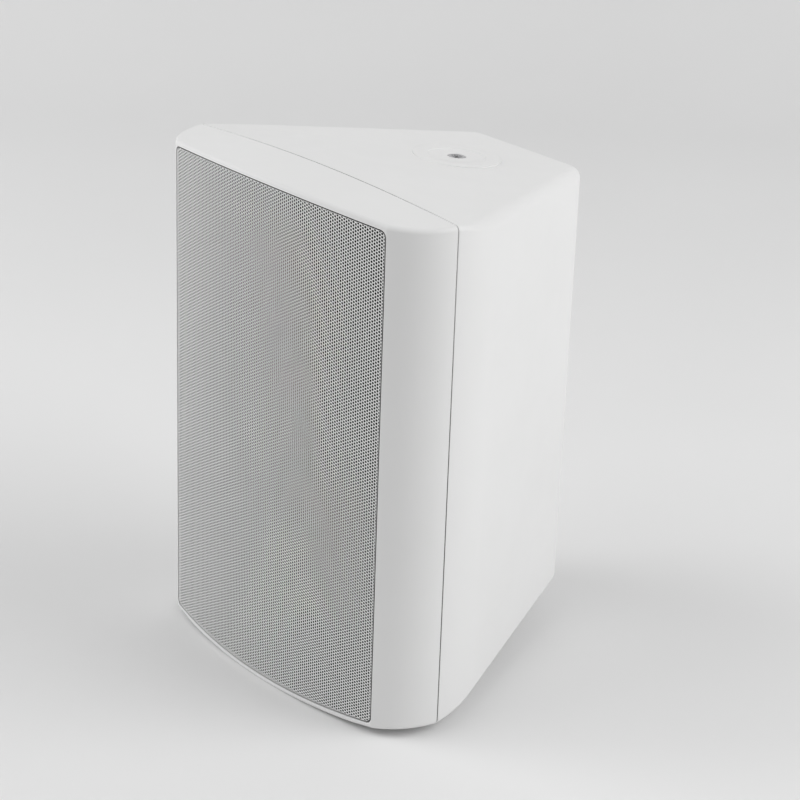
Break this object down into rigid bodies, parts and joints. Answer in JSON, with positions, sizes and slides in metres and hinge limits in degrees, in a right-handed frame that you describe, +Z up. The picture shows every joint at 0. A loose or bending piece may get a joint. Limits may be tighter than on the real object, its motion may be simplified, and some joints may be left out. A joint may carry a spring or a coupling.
{
  "type": "passive speaker",
  "caption": "White two-way passive loudspeaker with a tapered moulded enclosure, a curved perforated grille and threaded bracket inserts in its top and bottom.",
  "frame": {"origin": "centre of the enclosure's bounding box, on its plane of left-right symmetry", "axes": "+X to the right seen from the front, +Y to the back, +Z up; the grille faces -Y"},
  "size_m": [0.2958, 0.2662, 0.4062],
  "materials": {
    "enclosure_white": "fine satin texture",
    "grille_white": "satin powder coat",
    "foam_black": "open-cell foam",
    "insert_steel": "plated",
    "screw_steel": "zinc plated",
    "basket_black": "satin black",
    "cone_grey": "matte",
    "rubber_black": "matte",
    "spider_cloth": "woven",
    "ferrite_grey": "ground",
    "plate_steel": "zinc plated",
    "coil_copper": "enamelled wire",
    "tweeter_black": "satin",
    "dome_cloth": "coated weave",
    "port_black": "satin",
    "board_green": "solder mask",
    "capacitor_yellow": "film wrap",
    "resistor_white": "ceramic",
    "terminal_black": "fine texture",
    "lever_red": "semi gloss",
    "lever_black": "semi gloss",
    "contact_nickel": "nickel plated",
    "felt_grey": "needle felt"
  },
  "bodies": {
    "enclosure": {"front_bezel": "enclosure_white", "rear_housing": "enclosure_white", "seam_seal": "rubber_black", "housing_screws": "screw_steel", "bracket_insert_top": "insert_steel", "bracket_insert_bottom": "insert_steel", "grille": "grille_white", "grille_foam": "foam_black", "woofer_basket": "basket_black", "woofer_gasket": "rubber_black", "woofer_top_plate": "plate_steel", "woofer_magnet": "ferrite_grey", "woofer_yoke": "plate_steel", "woofer_surround": "rubber_black", "woofer_spider": "spider_cloth", "woofer_screws": "screw_steel", "tweeter_faceplate": "tweeter_black", "tweeter_top_plate": "plate_steel", "tweeter_magnet": "ferrite_grey", "tweeter_yoke": "plate_steel", "tweeter_screws": "screw_steel", "port_tube_left": "port_black", "port_tube_right": "port_black", "crossover_board": "board_green", "crossover_inductor_large": "coil_copper", "crossover_inductor_small": "coil_copper", "crossover_capacitors": "capacitor_yellow", "crossover_resistor": "resistor_white", "crossover_screws": "screw_steel", "terminal_cup": "terminal_black", "terminal_pin": "insert_steel", "terminal_contacts": "contact_nickel", "terminal_screws": "screw_steel", "damping_pad_left": "felt_grey", "damping_pad_right": "felt_grey"},
    "woofer_cone_assembly": {"woofer_cone": "cone_grey", "woofer_dust_cap": "cone_grey", "woofer_voice_coil": "coil_copper"},
    "tweeter_dome_assembly": {"tweeter_dome": "dome_cloth", "tweeter_voice_coil": "coil_copper"},
    "terminal_lever_red_body": {"terminal_lever_red": "lever_red"},
    "terminal_lever_black_body": {"terminal_lever_black": "lever_black"}
  },
  "joints": [
    {"name": "woofer_stroke", "type": "slide", "parent": "enclosure", "child": "woofer_cone_assembly", "axis": [0, -1, 0], "range_m": [-0.005, 0.005], "stiffness_N_per_m": 1200, "deforming": ["woofer_surround", "woofer_spider"]},
    {"name": "tweeter_stroke", "type": "slide", "parent": "enclosure", "child": "tweeter_dome_assembly", "axis": [0, -1, 0], "range_m": [-0.0003, 0.0003], "stiffness_N_per_m": 500},
    {"name": "terminal_lever_red_press", "type": "hinge", "parent": "enclosure", "child": "terminal_lever_red_body", "pos_m": [0.01496, 0.1156, -0.0785], "axis": [-1, 0, 0], "range_deg": [0, 14], "stiffness_Nm_per_rad": 0.06},
    {"name": "terminal_lever_black_press", "type": "hinge", "parent": "enclosure", "child": "terminal_lever_black_body", "pos_m": [-0.01496, 0.1156, -0.0785], "axis": [-1, 0, 0], "range_deg": [0, 14], "stiffness_Nm_per_rad": 0.06}
  ]
}
